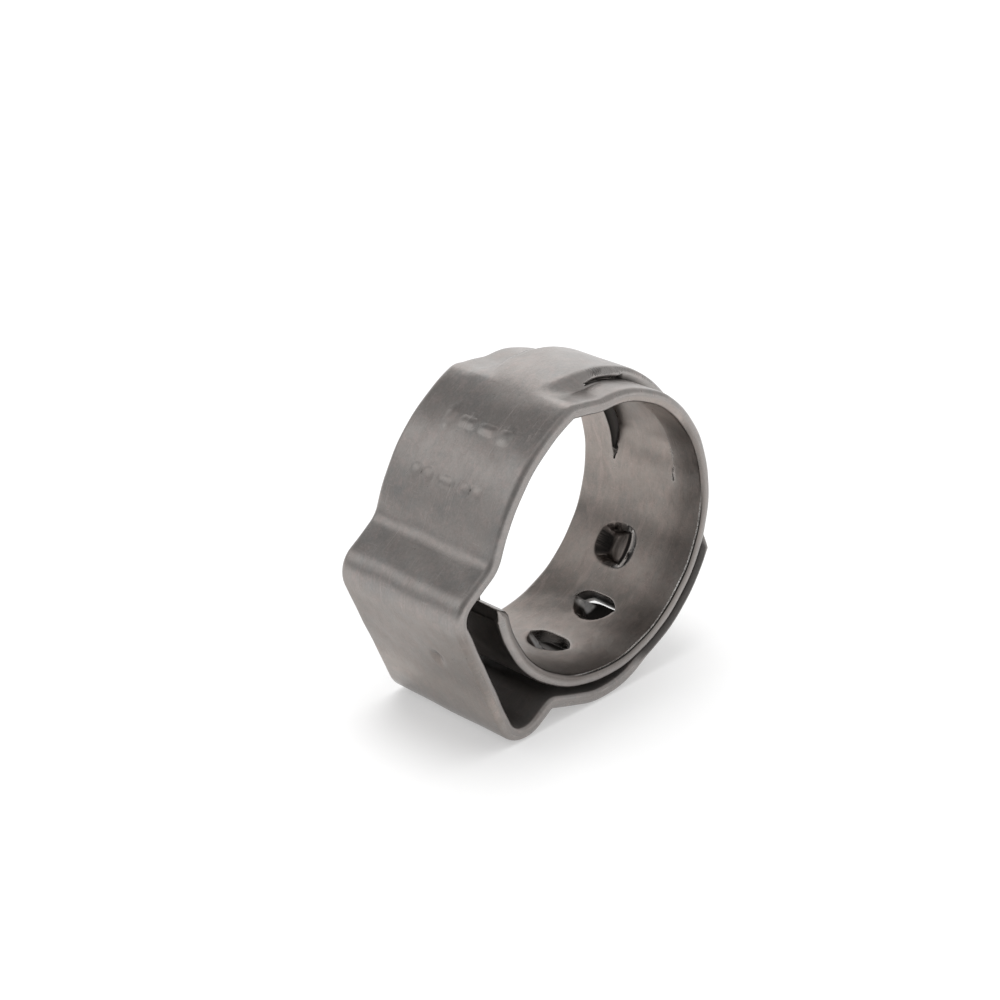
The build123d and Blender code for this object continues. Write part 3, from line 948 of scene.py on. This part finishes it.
# the painted shade and the painted highlight are made non-metallic
L(math_("SUBTRACT", 1.0, math_("MAXIMUM", math_("MULTIPLY", painted_shade, 0.92), math_("MULTIPLY", attr("pocket_highlight").outputs["Fac"], 0.9))), bsdf.inputs["Metallic"])
bsdf.inputs["Specular IOR Level"].default_value = 0.15
L(tone, bsdf.inputs["Base Color"])
L(rough, bsdf.inputs["Roughness"])
L(bump2.outputs["Normal"], bsdf.inputs["Normal"])
outn = node("ShaderNodeOutputMaterial")
L(bsdf.outputs["BSDF"], outn.inputs["Surface"])
clamp.data.materials.append(mat)

# ---------------------------------------------------------------------------
# Floor, light and camera
# ---------------------------------------------------------------------------
FLOOR_Z = float(cad_lo[2]) - 0.00001
bpy.ops.mesh.primitive_plane_add(size=6.0, location=(0, 0, FLOOR_Z))
floor = bpy.context.object
floor.name = "floor"
fmat = bpy.data.materials.new("pale_floor")
fmat.use_nodes = True
fb = fmat.node_tree.nodes["Principled BSDF"]
fb.inputs["Base Color"].default_value = (0.68, 0.68, 0.68, 1)
fb.inputs["Emission Color"].default_value = (1, 1, 1, 1)
fb.inputs["Emission Strength"].default_value = 0.37
fb.inputs["Roughness"].default_value = 0.9
fb.inputs["Specular IOR Level"].default_value = 0.1
floor.data.materials.append(fmat)

world = bpy.data.worlds.new("studio")
bpy.context.scene.world = world
world.use_nodes = True
wt = world.node_tree
wt.nodes.clear()


def wnode(kind, **kw):
    n = wt.nodes.new(kind)
    for k, v in kw.items():
        setattr(n, k, v)
    return n


coord = wnode("ShaderNodeTexCoord").outputs["Generated"]


def glow(direction, inner_deg, outer_deg):
    """1 within inner_deg of a direction, falling to 0 at outer_deg."""
    d = wnode("ShaderNodeVectorMath", operation="DOT_PRODUCT")
    wt.links.new(coord, d.inputs[0])
    d.inputs[1].default_value = Vector(direction).normalized()
    m = wnode("ShaderNodeMapRange", interpolation_type="SMOOTHSTEP")
    m.inputs["From Min"].default_value = math.cos(math.radians(outer_deg))
    m.inputs["From Max"].default_value = math.cos(math.radians(inner_deg))
    wt.links.new(d.outputs["Value"], m.inputs["Value"])
    return m.outputs["Result"]


level = None
for fac, value in (
    (glow((-0.62, -0.65, 0.44), 20, 55), 0.42),     # the dark side of the room, behind the camera
    (glow((-0.746, 0.647, 0.158), 12, 34), 0.58),   # wall on the left
    (glow((0.66, 0.647, 0.38), 14, 38), 1.40),      # soft box, right and low
    (glow((0.36, 0.647, 0.67), 8, 22), 1.75),       # soft box, right and high
    (glow((-0.51, 0.647, 0.567), 7, 21), 1.30),     # soft box, upper left
    (glow((-0.085, 0.60, 0.79), 9, 24), 0.30),     # gap between the soft boxes
):
    n = wnode("ShaderNodeMix", data_type="FLOAT")
    wt.links.new(fac, n.inputs[0])
    if level is None:
        n.inputs[2].default_value = 0.72
    else:
        wt.links.new(level, n.inputs[2])
    n.inputs[3].default_value = value
    level = n.outputs[0]
seen = wnode("ShaderNodeLightPath").outputs["Is Camera Ray"]
n = wnode("ShaderNodeMix", data_type="FLOAT")
wt.links.new(seen, n.inputs[0])
wt.links.new(level, n.inputs[2])
n.inputs[3].default_value = 1.0
bg = wnode("ShaderNodeBackground")
bg.inputs["Color"].default_value = (1, 1, 1, 1)
wt.links.new(n.outputs[0], bg.inputs["Strength"])
wo = wnode("ShaderNodeOutputWorld")
wt.links.new(bg.outputs["Background"], wo.inputs["Surface"])

top = bpy.data.lights.new("top", "SUN")
top.energy = 1.3
top.angle = math.radians(38)
top_ob = bpy.data.objects.new("top", top)
top_ob.rotation_euler = Vector((0.02, -0.10, -1.0)).to_track_quat("-Z", "Y").to_euler()
top_ob.visible_glossy = False           # fills the floor only
bpy.context.scene.collection.objects.link(top_ob)

cam_data = bpy.data.cameras.new("camera")
cam_data.sensor_width = 36.0
cam_data.lens = 2296.43 / 1000 * 36.0
cam_data.clip_start, cam_data.clip_end = 0.005, 20.0
cam = bpy.data.objects.new("camera", cam_data)


def standing(p, q, u):
    """Ring coordinates to the standing frame."""
    return Vector((p * math.cos(TILT) + q * math.sin(TILT), -u, -p * math.sin(TILT) + q * math.cos(TILT)))


right = standing(0.6948, 0.1459, 0.7043)
forward = standing(0.7128, -0.2704, -0.6471).normalized()
eye = standing(-70.530, 26.579, 61.206) / 1000
right = (right - forward * right.dot(forward)).normalized()
up = right.cross(forward)
cam.matrix_world = Matrix((
    (right.x, up.x, -forward.x, eye.x),
    (right.y, up.y, -forward.y, eye.y),
    (right.z, up.z, -forward.z, eye.z),
    (0, 0, 0, 1)))
bpy.context.scene.collection.objects.link(cam)
bpy.context.scene.camera = cam
bpy.context.scene.view_settings.view_transform = "Standard"
